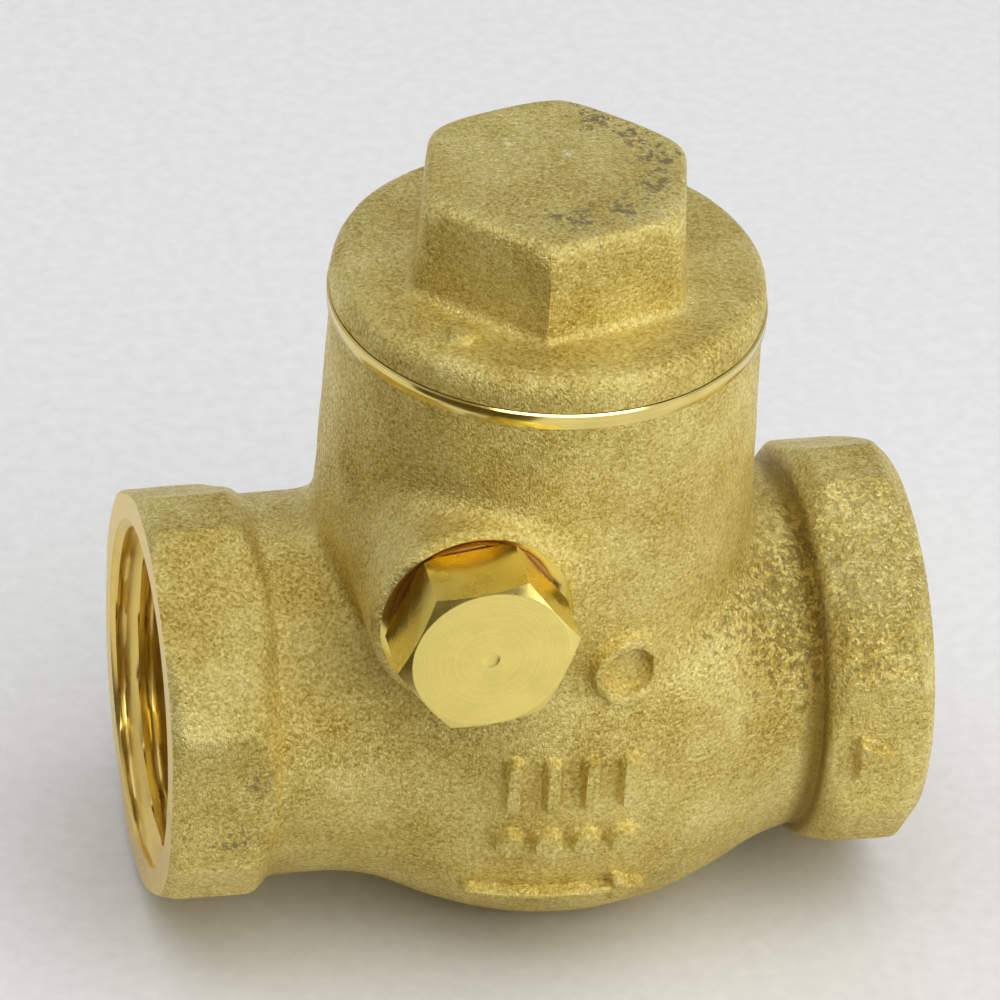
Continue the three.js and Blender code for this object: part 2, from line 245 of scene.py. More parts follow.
def turned(profile, axis, centre=(0, 0, 0), segments=128):
    """Points and faces of a closed turned solid; its profile is (radius, height), low end first."""
    across, up, along = (np.array(v) for v in axis_frame(axis))
    closed = profile[0] == profile[-1] and profile[0][0] > 0
    rows = profile[:-1] if closed else profile
    points = []
    rings = []
    for radius, height in rows:
        if radius < 1e-9:
            rings.append([len(points)] * segments)
            points.append(np.array(centre) + along * height)
            continue
        start = len(points)
        for k in range(segments):
            angle = 2 * math.pi * k / segments
            points.append(np.array(centre) + along * height
                          + radius * (across * math.cos(angle) + up * math.sin(angle)))
        rings.append(list(range(start, start + segments)))
    pairs = list(zip(rings, rings[1:]))
    if closed:
        pairs.append((rings[-1], rings[0]))
    faces = []
    for low, high in pairs:
        for k in range(segments):
            nxt = (k + 1) % segments
            face = []
            for corner in (low[k], low[nxt], high[nxt], high[k]):
                if corner not in face:
                    face.append(corner)
            if len(face) > 2:
                faces.append(face)
    return np.array(points), faces


def rounded(profile, radius, steps=4):
    """The profile with its inner corners turned into short arcs."""
    result = [profile[0]]
    for before, corner, after in zip(profile, profile[1:], profile[2:]):
        c = np.array(corner, float)
        a = np.array(before, float) - c
        b = np.array(after, float) - c
        reach = min(radius, 0.45 * np.linalg.norm(a), 0.45 * np.linalg.norm(b))
        if reach < 1e-6:
            result.append(corner)
            continue
        start = c + a / np.linalg.norm(a) * reach
        end = c + b / np.linalg.norm(b) * reach
        for k in range(steps + 1):
            t = k / steps
            result.append(tuple((1 - t) ** 2 * start + 2 * t * (1 - t) * c + t ** 2 * end))
    result.append(profile[-1])
    return result


def threaded(axis, centre, low, high, base, depth, pitch, mouth=None, segments=128):
    """A closed rod with a V thread: base is the crest or root radius that depth is added to.
    mouth is a function of height that gives a smallest radius, for a chamfer."""
    across, up, along = (np.array(v) for v in axis_frame(axis))
    rows = int((high - low) / (pitch / 14)) + 1
    heights = np.linspace(low, high, rows)
    points = []
    for height in heights:
        for k in range(segments):
            angle = 2 * math.pi * k / segments
            turn = (height / pitch - k / segments) % 1.0
            tooth = min(1.0, max(0.0, 1.25 - 2.5 * abs(turn - 0.5)))
            radius = base(height) + depth * tooth
            if mouth:
                radius = mouth(height, radius)
            points.append(np.array(centre) + along * height
                          + radius * (across * math.cos(angle) + up * math.sin(angle)))
    faces = []
    for row in range(rows - 1):
        for k in range(segments):
            nxt = (k + 1) % segments
            a = row * segments
            b = a + segments
            faces.append([a + k, a + nxt, b + nxt, b + k])
    points.append(np.array(centre) + along * low)
    points.append(np.array(centre) + along * high)
    last = (rows - 1) * segments
    for k in range(segments):
        nxt = (k + 1) % segments
        faces.append([len(points) - 2, nxt, k])
        faces.append([len(points) - 1, last + k, last + nxt])
    return np.array(points), faces


def combine(target, tool, operation):
    """Boolean of target with tool, which is then removed. The tool's material stays on its faces."""
    modifier = target.modifiers.new("cut", "BOOLEAN")
    modifier.operation = operation
    modifier.object = tool
    modifier.solver = "MANIFOLD"
    modifier.material_mode = "TRANSFER"
    depsgraph = bpy.context.evaluated_depsgraph_get()
    result = bpy.data.meshes.new_from_object(target.evaluated_get(depsgraph))
    target.modifiers.clear()
    old = target.data
    target.data = result
    bpy.data.meshes.remove(old)
    bpy.data.objects.remove(tool)


def sharpen(thing, angle):
    """Smooth shading, split where faces meet at more than the angle."""
    mesh = thing.data
    mesh.polygons.foreach_set("use_smooth", [True] * len(mesh.polygons))
    mesh.set_sharp_from_angle(angle=math.radians(angle))
    mesh.update()


def finish_piece(thing, body, slot, *nodes):
    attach(thing, body)
    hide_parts(*nodes)
    return thing


# ------------------------------------------------------------------ the body casting

BELLY_X = 1.6
BELLY_LENGTH = 18.8
BELLY_WIDTH = 14.6
BELLY_DEPTH = 15.0
BELLY_POWER = 2.5
HEX_LENGTH = 6.9
HEX_BEVEL = 13.3
HEX_FOOT_RADIUS = 12.1
HEX_TILT = math.radians(2)
HEX_FILLET = 0.4
INLET_RIM = 12.8
OUTLET_RIM = 12.1
WAIST_IN = 12.0
WAIST_OUT = 11.5
LEDGE = 9.6
WALL = SEAT_FACE - 1.6


def belly_field(x, y, z):
    across = (np.abs(y) / BELLY_WIDTH) ** BELLY_POWER + (np.abs(z) / BELLY_DEPTH) ** BELLY_POWER
    reach = across ** (1 / BELLY_POWER)
    return (np.hypot(reach, (x - BELLY_X) / BELLY_LENGTH) - 1) * 0.97 * BELLY_WIDTH


def neck_field(x, y, z):
    rise = np.clip((z - 4) / (NECK_TOP - 4), 0, 1)
    side = np.hypot(x, y) - (NECK_FOOT_RADIUS + (NECK_TOP_RADIUS - NECK_FOOT_RADIUS) * rise)
    caps = np.maximum(z - NECK_TOP + 0.05, -4 - z)
    return np.maximum(side, caps)


def end_hex_field(x, y, z, end, side, rim):
    inner = end - HEX_LENGTH
    along = x * side
    c, s = math.cos(HEX_TILT), math.sin(HEX_TILT)
    across, up = y * c - z * s, z * c + y * s
    prism = np.maximum(hex_field(across, up, HEX_APOTHEM, 0.05), hex_field(up, across, HEX_BEVEL, 0.05))
    foot = (np.hypot(y, z) - along + inner - HEX_FOOT_RADIUS) * HALF_ROOT_TWO
    prism = blend_cut(np.maximum(prism, inner - along), foot, 0.3)
    cone = (np.hypot(y, z) + along - end - rim) * HALF_ROOT_TWO
    return np.maximum(blend_cut(prism, cone, 0.2), along - end - 0.6)


def boss_field(x, y, z):
    side = np.hypot(x - HINGE_X, z - HINGE_Z) - BOSS_RADIUS
    return np.maximum(round_cut(side, BOSS_FRONT - y, BOSS_EDGE), y + 2)


def outside_field(x, y, z):
    shape = blend_union(belly_field(x, y, z), neck_field(x, y, z), 1.0)
    shape = blend_union(shape, cylinder_field(y, z, x, WAIST_IN, 2 - END_IN, 0, 1.0), 1.8)
    shape = blend_union(shape, cylinder_field(y, z, x, WAIST_OUT, 0, END_OUT - 2, 1.0), 1.8)
    shape = blend_union(shape, boss_field(x, y, z), 1.4)
    shape = blend_union(shape, end_hex_field(x, y, z, END_IN, -1, INLET_RIM), HEX_FILLET)
    return blend_union(shape, end_hex_field(x, y, z, END_OUT, 1, OUTLET_RIM), HEX_FILLET)


def cavity_field(x, y, z):
    reach = np.hypot(x, y)
    side = reach - CHAMBER_RADIUS + 0.05
    shape = blend_cut(side, -10.9 - z, 5.0)
    shape = blend_cut(shape, -np.maximum(x - WALL, z - LEDGE), 1.0)
    port = cylinder_field(y, z, x, OUTLET_RADIUS, 3, END_OUT - SOCKET_DEPTH + 0.5, 0.5)
    return blend_union(shape, port, 1.4)


MARK_HEIGHT = 0.75
MARK_SLOPE = 0.25


def bar(x, z, start, end, half_width):
    """Distance in the XZ plane to a bar with round ends."""
    line = (end[0] - start[0], end[1] - start[1])
    along = ((x - start[0]) * line[0] + (z - start[1]) * line[1]) / (line[0] ** 2 + line[1] ** 2)
    along = np.clip(along, 0, 1)
    return np.hypot(x - start[0] - along * line[0], z - start[1] - along * line[1]) - half_width


def triangle(x, z, centre, size):
    """Distance to a triangle that points to +X."""
    u = x - centre[0]
    v = np.abs(z - centre[1])
    return np.maximum(-u - size * 0.5, (u + v * 1.732 - size) * 0.5)


def front_marks(x, z):
    """Raised marks seen from the front: a ring, bars, dots, and an arrow along the flow."""
    yield np.abs(np.hypot(x - 3.2, z - 9.4) - 1.9) - 0.4
    for k in range(4):
        column = -3.6 + 2.4 * k
        yield bar(x, z, (column, 0.2), (column, 2.9), 0.55)
        yield np.hypot(x - column, z + 3.0) - 1.0
    yield bar(x, z, (-5.6, -7.6), (3.0, -7.6), 0.34)
    yield triangle(x, z, (4.0, -7.6), 1.5)
    yield triangle(x, z, (19.6, 0.1), 1.7)


def mark_height(x, y, z):
    """How far the marks stand out of the front of the casting, in millimetres."""
    distance = np.full_like(x, 9.0)
    for mark in front_marks(x, z):
        distance = np.minimum(distance, mark)
    return MARK_HEIGHT * np.clip(0.5 - distance / MARK_SLOPE, 0, 1) * (y < -4)


def body_field(x, y, z):
    return blend_cut(outside_field(x, y, z), -cavity_field(x, y, z), 0.3) - mark_height(x, y, z)


def mouth_limit(end):
    """Opens the socket into a chamfer at its end face."""
    def limit(height, radius):
        return max(radius, MOUTH_RADIUS - max(0.0, end - height) * 1.1)
    return limit


def socket_cutter(end, side, material):
    low = end - SOCKET_DEPTH

    def base(height):
        runout = max(0.0, 1.5 - (height - low)) * 0.35
        return 9.55 + 0.03 * (height - low) - runout

    points, faces = threaded("x", (0, 0, 0), low, end + 1.0, base, 1.05, PIPE_PITCH, mouth_limit(end))
    if side < 0:
        points = points * [-1, -1, 1]
    return make_object("socket_cutter", points, faces, material)


def lathe_object(name, profile, axis, material, centre=(0, 0, 0), segments=128):
    points, faces = turned(profile, axis, centre, segments)
    return make_object(name, points, faces, material)


def slab(name, low, high, material):
    corners = [(x, y, z) for x in (low[0], high[0]) for y in (low[1], high[1]) for z in (low[2], high[2])]
    faces = [(0, 1, 3, 2), (4, 6, 7, 5), (0, 4, 5, 1), (2, 3, 7, 6), (0, 2, 6, 4), (1, 5, 7, 3)]
    return make_object(name, corners, faces, material)


def body_piece(cast, bore, rim_metal, spot_metal):
    low = (-END_IN - 2, -16.5, -16)
    high = (END_OUT + 2, 15.5, NECK_TOP + 1)
    points, quads, normals = skin(body_field, low, high, SKIN_STEP)
    bump = 0.05 * lumps(points, 2.6, 1) + 0.05 * lumps(points, 7.0, 2)
    points = points + normals * bump[:, None]
    body = make_object("body_casting", points, quads, cast, 60)
    for end, side in ((END_IN, -1), (END_OUT, 1)):
        face = end * side
        far = face + 4 * side
        cut_low = (min(face, far), -CUTTER_REACH, -CUTTER_REACH)
        cut_high = (max(face, far), CUTTER_REACH, CUTTER_REACH)
        combine(body, slab("facing", cut_low, cut_high, bore), "DIFFERENCE")
        combine(body, socket_cutter(end, side, bore), "DIFFERENCE")
    base = -PIPE_HEIGHT
    combine(body, slab("base_cut", (-10, -12, base - 4), (14, 12, base), cast), "DIFFERENCE")
    lip = FLANGE_BASE - SEAM
    rim = [(CHAMBER_RADIUS - 0.4, NECK_TOP - 1.2), (12.8, NECK_TOP - 1.2), (RIM_RADIUS, NECK_TOP - 0.35),
           (RIM_RADIUS, lip - 0.1), (RIM_RADIUS - 0.1, lip), (GASKET_SEAT_RADIUS, lip),
           (GASKET_SEAT_RADIUS, NECK_TOP), (CHAMBER_RADIUS - 0.4, NECK_TOP)]
    combine(body, lathe_object("rim", rim + rim[:1], "z", rim_metal), "UNION")
    seat = [(PORT_RADIUS - 0.5, WALL - 0.6), (SEAT_RADIUS + 0.7, WALL - 0.6), (SEAT_RADIUS, SEAT_FACE - 0.15),
            (SEAT_RADIUS - 0.15, SEAT_FACE), (PORT_RADIUS - 0.5, SEAT_FACE)]
    combine(body, lathe_object("seat", seat + seat[:1], "x", bore), "UNION")
    port = [(0, -END_IN + SOCKET_DEPTH - 1), (PORT_RADIUS, -END_IN + SOCKET_DEPTH - 1),
            (PORT_RADIUS, SEAT_FACE - 0.3), (PORT_RADIUS + 0.3, SEAT_FACE),
            (PORT_RADIUS + 0.3, SEAT_FACE + 1), (0, SEAT_FACE + 1)]
    combine(body, lathe_object("port", port, "x", bore), "DIFFERENCE")

    def lead_in(height, radius):
        return max(radius, CHAMBER_RADIUS + 0.75 - max(0.0, NECK_TOP - height))

    thread, faces = threaded("z", (0, 0, 0), NECK_TOP - 8.0, NECK_TOP + 1,
                             lambda height: CHAMBER_RADIUS + 0.02, 0.55, BONNET_PITCH, lead_in)
    combine(body, make_object("bonnet_thread", thread, faces, rim_metal), "DIFFERENCE")
    hinge = (HINGE_X, 0, HINGE_Z)
    spot = [(0, -CUTTER_REACH), (SPOTFACE_RADIUS, -CUTTER_REACH), (SPOTFACE_RADIUS, SPOTFACE_FLOOR),
            (0, SPOTFACE_FLOOR)]
    combine(body, lathe_object("spotface", spot, "y", spot_metal, hinge), "DIFFERENCE")
    hole_radius = PLUG_THREAD_RADIUS + 0.1
    hole = [(0, -CUTTER_REACH), (hole_radius, -CUTTER_REACH), (hole_radius, 0), (0, 0)]
    combine(body, lathe_object("plug_hole", hole, "y", spot_metal, hinge), "DIFFERENCE")
    pin = [(0, 0), (PIN_HOLE_RADIUS, 0), (PIN_HOLE_RADIUS, PIN_HIGH[1] + 0.3), (0, PIN_HIGH[1] + 0.3)]
    combine(body, lathe_object("pin_hole", pin, "y", spot_metal, hinge), "DIFFERENCE")
    sharpen(body, 38)
    return finish_piece(body, "valve_body", "cast_brass", "body")


# ------------------------------------------------------------------ the bonnet

FLANGE_TOP = FLANGE_BASE + 2.2
FLANGE_RADIUS = BONNET_HIGH[0]
HEX_FOOT = 8.15
HEX_DRAFT = 0.055
HEX_CROWN = 8.35
HEX_TURN = math.radians(-104)


def bonnet_field(x, y, z):
    flange = cylinder_field(x, y, z, FLANGE_RADIUS - 0.05, FLANGE_BASE - 2, FLANGE_TOP, 1.5)
    c, s = math.cos(HEX_TURN), math.sin(HEX_TURN)
    v = x * c + y * s
    u = -x * s + y * c
    rise = z - FLANGE_TOP
    prism = hex_field(u, v, HEX_FOOT, 0.8) + HEX_DRAFT * rise
    cone = (np.hypot(x, y) + z - BONNET_TOP - HEX_CROWN) * HALF_ROOT_TWO
    prism = blend_cut(blend_cut(prism, z - BONNET_TOP + 0.05, 0.6), cone, 0.8)
    prism = np.maximum(prism, FLANGE_BASE - z)
    mark = np.clip(0.5 - (np.hypot(x + 7.0, y + 7.4) - 0.9) / MARK_SLOPE, 0, 1) * (z < FLANGE_TOP + 1)
    return blend_union(flange, prism, 0.6) - 0.45 * mark


def bonnet_piece(cast, metal):
    low = (-FLANGE_RADIUS - 1, -FLANGE_RADIUS - 1, FLANGE_BASE - 3)
    high = (FLANGE_RADIUS + 1, FLANGE_RADIUS + 1, BONNET_TOP + 1)
    points, quads, normals = skin(bonnet_field, low, high, SKIN_STEP)
    bump = 0.03 * lumps(points, 2.2, 5) + 0.04 * lumps(points, 6.0, 6)
    points = points + normals * bump[:, None]
    bonnet = make_object("bonnet_cover", points, quads, cast, 60)
    cut_low = (-CUTTER_REACH, -CUTTER_REACH, FLANGE_BASE - 6)
    combine(bonnet, slab("under", cut_low, (CUTTER_REACH, CUTTER_REACH, FLANGE_BASE), metal), "DIFFERENCE")
    foot = BONNET_LOW[2] - PIPE_HEIGHT

    def root(height):
        return 10.25 - max(0.0, foot + 0.9 - height)

    thread, faces = threaded("z", (0, 0, 0), foot, FLANGE_BASE + 0.4, root, 0.72, BONNET_PITCH)
    combine(bonnet, make_object("spigot", thread, faces, metal), "UNION")
    hollow = [(0, foot - 1), (8.6, foot - 1), (8.6, FLANGE_BASE - 1.2), (7.4, FLANGE_BASE),
              (0, FLANGE_BASE)]
    combine(bonnet, lathe_object("hollow", hollow, "z", cast), "DIFFERENCE")
    sharpen(bonnet, 38)
    return finish_piece(bonnet, "bonnet_cover", "bonnet_brass", "bonnet")


# ------------------------------------------------------------------ the hinge plug


def hex_prism(name, axis, centre, corner, low, high, turn, material):
    points, faces = turned([(0, low), (corner, low), (corner, high), (0, high)], axis, (0, 0, 0), 6)
    spin = Matrix.Rotation(turn, 3, axis_frame(axis)[2])
    points = np.array([spin @ Vector(p) for p in points]) + np.array(centre)
    return make_object(name, points, faces, material)


PLUG_TURN = math.radians(21.9)


def plug_piece(metal):
    under = PLUG_HIGH[1]
    shoulder = SPOTFACE_FLOOR - 0.5
    centre = (HINGE_X, 0, HINGE_Z)
    plug = hex_prism("hinge_plug_turned", "y", centre, 5.6, PLUG_FRONT, shoulder, PLUG_TURN, metal)
    trim = rounded([(0, PLUG_FRONT), (4.8, PLUG_FRONT), (5.62, PLUG_FRONT + 0.42), (5.62, shoulder - 0.3),
                    (5.2, shoulder), (0, shoulder)], 0.06)
    combine(plug, lathe_object("trim", trim, "y", metal, centre, 192), "INTERSECT")
    root = PLUG_THREAD_RADIUS - 0.55

    def base(height):
        return root - max(0.0, height - under + 0.6)

    points, faces = threaded("y", centre, shoulder - 0.3, under, base, 0.5, 1.0, segments=72)
    combine(plug, make_object("shank", points, faces, metal), "UNION")
    dimple = [(0, PLUG_FRONT - 1), (0.55, PLUG_FRONT - 1), (0.55, PLUG_FRONT), (0.4, PLUG_FRONT + 0.05),
              (0.2, PLUG_FRONT + 0.08), (0, PLUG_FRONT + 0.09)]
    combine(plug, lathe_object("dimple", dimple, "y", metal, centre, 48), "DIFFERENCE")
    end = PIN_LOW[1] - 0.3
    bore = [(0, end), (PIN_HOLE_RADIUS, end), (PIN_HOLE_RADIUS, under + 1), (0, under + 1)]
    combine(plug, lathe_object("bore", bore, "y", metal, centre, 48), "DIFFERENCE")
    sharpen(plug, 14)
    return finish_piece(plug, "pin_plug", "machined_brass", "hinge_plug")


# ------------------------------------------------------------------ materials


def node_tree(name):
    material = bpy.data.materials.new(name)
    material.use_nodes = True
    tree = material.node_tree
    return material, tree, tree.nodes["Principled BSDF"]


def add(tree, kind, links=None, values=None, **settings):
    """A node with its settings; links join its inputs to sockets, values fill them."""
    node = tree.nodes.new(kind)
    for key, value in settings.items():
        setattr(node, key, value)
    for key, value in (values or {}).items():
        node.inputs[key].default_value = value
    for key, socket in (links or {}).items():
        tree.links.new(socket, node.inputs[key])
    return node


def object_millimetres(tree):
    coordinates = add(tree, "ShaderNodeTexCoord")
    return add(tree, "ShaderNodeMapping", {"Vector": coordinates.outputs["Object"]},
               {"Scale": (1000, 1000, 1000)}).outputs["Vector"]


def math_node(tree, operation, a, b=None):
    node = add(tree, "ShaderNodeMath", operation=operation)
    for slot, value in enumerate((a, b)):
        if value is None:
            continue
        if isinstance(value, (int, float)):
            node.inputs[slot].default_value = value
        else:
            tree.links.new(value, node.inputs[slot])
    return node.outputs[0]


def ramp(tree, factor, stops):
    node = add(tree, "ShaderNodeValToRGB", {"Fac": factor})
    elements = node.color_ramp.elements
    while len(elements) < len(stops):
        elements.new(0.5)
    for element, (place, colour) in zip(elements, stops):
        element.position = place
        element.color = (*colour, 1)
    return node.outputs["Color"]


def grey(value):
    return (value, value, value)


def mix_colour(tree, factor, a, b):
    node = add(tree, "ShaderNodeMix", {0: factor, 6: a}, data_type="RGBA")
    node.inputs[7].default_value = (*b, 1)
    return node.outputs[2]


def clamped(tree, value):
    return math_node(tree, "MINIMUM", math_node(tree, "MAXIMUM", value, 0.0), 1.0)


def blotch(tree, place, centre, radius, ragged):
    """1 near a point, given in millimetres about the pipe axis, fading to 0 with a ragged edge."""
    centre = Vector(centre) + Vector((0, 0, PIPE_HEIGHT))
    reach = add(tree, "ShaderNodeVectorMath", {0: place}, {1: centre}, operation="DISTANCE").outputs["Value"]
    inside = math_node(tree, "SUBTRACT", math_node(tree, "MULTIPLY", ragged, 11.0),
                       math_node(tree, "MULTIPLY", reach, 1.3 / radius))
    return clamped(tree, math_node(tree, "SUBTRACT", inside, 4.6))


def painted_groove_shade(tree, place, x, radius, width):
    """Mask of painted shade: 1 in the groove round the pipe at x, fading to 0 at a width from it, in
    millimetres.
    """
    centre = Vector((-x, 0, -PIPE_HEIGHT))
    local = add(tree, "ShaderNodeVectorMath", {0: place}, {1: centre}, operation="ADD").outputs["Vector"]
    split = add(tree, "ShaderNodeSeparateXYZ", {"Vector": local})
    along, u, v = (split.outputs[n] for n in "XYZ")
    around = math_node(tree, "SQRT", math_node(tree, "ADD", math_node(tree, "MULTIPLY", u, u),
                                               math_node(tree, "MULTIPLY", v, v)))
    out = math_node(tree, "SUBTRACT", around, radius)
    reach = math_node(tree, "SQRT", math_node(tree, "ADD", math_node(tree, "MULTIPLY", out, out),
                                              math_node(tree, "MULTIPLY", along, along)))
    inside = math_node(tree, "SUBTRACT", 1.3, math_node(tree, "MULTIPLY", reach, 1.3 / width))
    return clamped(tree, inside)


# Colour of painted shade in the grooves, standing in for the shade that falls there.
GROOVE_SHADE = (0.36, 0.25, 0.05)
CAST_TONES = [(0.34, (0.40, 0.26, 0.03)), (0.50, (0.72, 0.58, 0.175)), (0.66, (0.96, 0.86, 0.38))]


def cast_brass(name, pebbled=(), stains=(), groove_shades=()):
    """Sand-cast brass: fine grains that catch the light one by one, over paler and darker patches.
    pebbled lists (centre, radius) where the skin is coarse, stains (centre, radius, colour),
    and the last list gives (x, radius, width) of grooves round the pipe darkened with painted shade."""
    material, tree, shader = node_tree(name)
    place = object_millimetres(tree)
    fine = add(tree, "ShaderNodeTexNoise", {"Vector": place},
               {"Scale": 4.6, "Detail": 5.0, "Roughness": 0.72})
    grain = add(tree, "ShaderNodeTexVoronoi", {"Vector": place}, {"Scale": 5.8}, feature="F1")
    patch = add(tree, "ShaderNodeTexNoise", {"Vector": place}, {"Scale": 0.22, "Detail": 3.0})
    spark = add(tree, "ShaderNodeSeparateColor", {"Color": grain.outputs["Color"]}).outputs["Red"]
    tone = math_node(tree, "ADD", math_node(tree, "MULTIPLY", fine.outputs["Fac"], 0.58),
                     math_node(tree, "MULTIPLY", patch.outputs["Fac"], 0.29))
    tone = math_node(tree, "ADD", tone, math_node(tree, "MULTIPLY", spark, 0.13))
    colour = ramp(tree, tone, CAST_TONES)
    ragged = add(tree, "ShaderNodeTexNoise", {"Vector": place},
                 {"Scale": 2.0, "Detail": 4.0, "Roughness": 0.7})
    for centre, radius, shade in stains:
        colour = mix_colour(tree, blotch(tree, place, centre, radius, ragged.outputs["Fac"]), colour, shade)
    # Painted shade: the grooves round the pipe are darkened in the colour where shade falls.
    for x, radius, width in groove_shades:
        colour = mix_colour(tree, painted_groove_shade(tree, place, x, radius, width), colour, GROOVE_SHADE)
    tree.links.new(colour, shader.inputs["Base Color"])
    tree.links.new(ramp(tree, spark, [(0.0, grey(0.50)), (1.0, grey(0.32))]), shader.inputs["Roughness"])
    shader.inputs["Metallic"].default_value = 1.0
    relief = math_node(tree, "SUBTRACT", fine.outputs["Fac"],
                       math_node(tree, "MULTIPLY", grain.outputs["Distance"], 0.35))
    pebble = add(tree, "ShaderNodeTexVoronoi", {"Vector": place}, {"Scale": 1.6}, feature="SMOOTH_F1")
    for centre, radius in pebbled:
        rise = math_node(tree, "MULTIPLY", pebble.outputs["Distance"],
                         blotch(tree, place, centre, radius, ragged.outputs["Fac"]))
        relief = math_node(tree, "SUBTRACT", relief, math_node(tree, "MULTIPLY", rise, 1.7))
    bump = add(tree, "ShaderNodeBump", {"Height": relief}, {"Strength": 1.0, "Distance": 0.00013})
    tree.links.new(bump.outputs["Normal"], shader.inputs["Normal"])
    return material


TOOL_MARK_DEPTH = 0.000003


def turned_metal(name, axis, centre, colour, roughness):
    """Machined metal with fine tool marks around an axis."""
    material, tree, shader = node_tree(name)
    place = object_millimetres(tree)
    offset = (Vector(centre) + Vector((0, 0, PIPE_HEIGHT)))
    local = add(tree, "ShaderNodeVectorMath", {0: place}, {1: -offset}, operation="ADD").outputs["Vector"]
    split = add(tree, "ShaderNodeSeparateXYZ", {"Vector": local})
    names = {"x": "XYZ", "y": "YXZ", "z": "ZXY"}[axis]
    along, u, v = (split.outputs[n] for n in names)
    reach = math_node(tree, "SQRT", math_node(tree, "ADD", math_node(tree, "MULTIPLY", u, u),
                                              math_node(tree, "MULTIPLY", v, v)))
    where = math_node(tree, "ADD", reach, math_node(tree, "MULTIPLY", along, 0.83))
    rings = add(tree, "ShaderNodeTexNoise", {"W": where}, {"Scale": 7.0, "Detail": 3.0},
                noise_dimensions="1D")
    smear = add(tree, "ShaderNodeTexNoise", {"Vector": place}, {"Scale": 0.5, "Detail": 4.0})
    tone = math_node(tree, "ADD", math_node(tree, "MULTIPLY", rings.outputs["Fac"], 0.3),
                     math_node(tree, "MULTIPLY", smear.outputs["Fac"], 0.7))
    dark = tuple(0.86 * c for c in colour)
    tree.links.new(ramp(tree, tone, [(0.35, dark), (0.6, colour)]), shader.inputs["Base Color"])
    polish = ramp(tree, smear.outputs["Fac"], [(0.3, grey(roughness * 0.8)), (0.7, grey(roughness * 1.35))])
    tree.links.new(polish, shader.inputs["Roughness"])
    shader.inputs["Metallic"].default_value = 1.0
    bump = add(tree, "ShaderNodeBump", {"Height": rings.outputs["Fac"]},
               {"Strength": 1.0, "Distance": TOOL_MARK_DEPTH})
    tree.links.new(bump.outputs["Normal"], shader.inputs["Normal"])
    return material


def soft_material(name, dark, light, roughness, scale, depth):
    """Rubber or fibre: mottled, matt and slightly rough."""
    material, tree, shader = node_tree(name)
    place = object_millimetres(tree)
    fine = add(tree, "ShaderNodeTexNoise", {"Vector": place}, {"Scale": scale, "Detail": 5.0})
    colour = ramp(tree, fine.outputs["Fac"], [(0.35, dark), (0.65, light)])
    tree.links.new(colour, shader.inputs["Base Color"])
    shader.inputs["Roughness"].default_value = roughness
    bump = add(tree, "ShaderNodeBump", {"Height": fine.outputs["Fac"]}, {"Strength": 1.0, "Distance": depth})
    tree.links.new(bump.outputs["Normal"], shader.inputs["Normal"])
    return material


# ------------------------------------------------------------------ camera, floor and light

CAMERA_AZIMUTH = math.radians(-14.55)
CAMERA_ELEVATION = math.radians(35.37)
CAMERA_ROLL = math.radians(4.14)
CAMERA_DISTANCE = 378.8
CAMERA_TARGET = Vector((-2.02, 0, 12.78))
FOCAL_LENGTH = 219.96
FLOOR_HALF_WIDTH = 1.5
DARK_SIDE = (-0.50, -0.86, 0.05)
SKY_TONES = [(0.30, (0.44, 0.44, 0.47)), (0.62, (0.53, 0.54, 0.60)), (0.88, (0.92, 0.95, 1.05))]
ROOM_TONES = [(0.25, (1, 1, 1)), (0.60, (0.22, 0.16, 0.045)), (0.85, (0.05, 0.035, 0.007))]


def make_camera():
    back = Vector((math.sin(CAMERA_AZIMUTH) * math.cos(CAMERA_ELEVATION),
                   -math.cos(CAMERA_AZIMUTH) * math.cos(CAMERA_ELEVATION), math.sin(CAMERA_ELEVATION)))
    right = (-back).cross(Vector((0, 0, 1))).normalized()
    up = right.cross(-back)
    c, s = math.cos(CAMERA_ROLL), math.sin(CAMERA_ROLL)
    across = c * right + s * up
    upward = -s * right + c * up
    place = (CAMERA_TARGET + Vector((0, 0, PIPE_HEIGHT)) + back * CAMERA_DISTANCE) * MM
    data = bpy.data.cameras.new("camera")
    data.lens = FOCAL_LENGTH
    data.sensor_width = 36
    data.clip_start = 0.01
    data.dof.use_dof = False
    camera = bpy.data.objects.new("camera", data)
    bpy.context.scene.collection.objects.link(camera)
    camera.matrix_world = Matrix((
        (across.x, upward.x, back.x, place.x),
        (across.y, upward.y, back.y, place.y),
        (across.z, upward.z, back.z, place.z),
        (0, 0, 0, 1)))
    bpy.context.scene.camera = camera


def make_floor():
    material, tree, shader = node_tree("floor_cloth")
    coordinates = add(tree, "ShaderNodeTexCoord")
    weave = add(tree, "ShaderNodeTexNoise", {"Vector": coordinates.outputs["Object"]}, {"Scale": 900.0})
    cloth = ramp(tree, weave.outputs["Fac"], [(0.3, (0.77, 0.765, 0.735)), (0.7, (0.82, 0.815, 0.785))])
    tree.links.new(cloth, shader.inputs["Base Color"])
    shader.inputs["Roughness"].default_value = 0.9
    size = FLOOR_HALF_WIDTH
    corners = [(-size, -size, 0), (size, -size, 0), (size, size, 0), (-size, size, 0)]
    mesh = bpy.data.meshes.new("floor")
    mesh.from_pydata(corners, [], [(0, 1, 2, 3)])
    mesh.materials.append(material)
    floor = bpy.data.objects.new("floor", mesh)
    bpy.context.scene.collection.objects.link(floor)


def area_light(name, place, aim, size, power, lights):
    data = bpy.data.lights.new(name, "AREA")
    data.shape = "RECTANGLE"
    data.size, data.size_y = size
    data.energy = power
    light = bpy.data.objects.new(name, data)
    bpy.context.scene.collection.objects.link(light)
    light.location = place
    light.visible_glossy = lights == "metal"
    light.visible_diffuse = lights == "floor"
    light.rotation_euler = (Vector(aim) - Vector(place)).to_track_quat("-Z", "Y").to_euler()


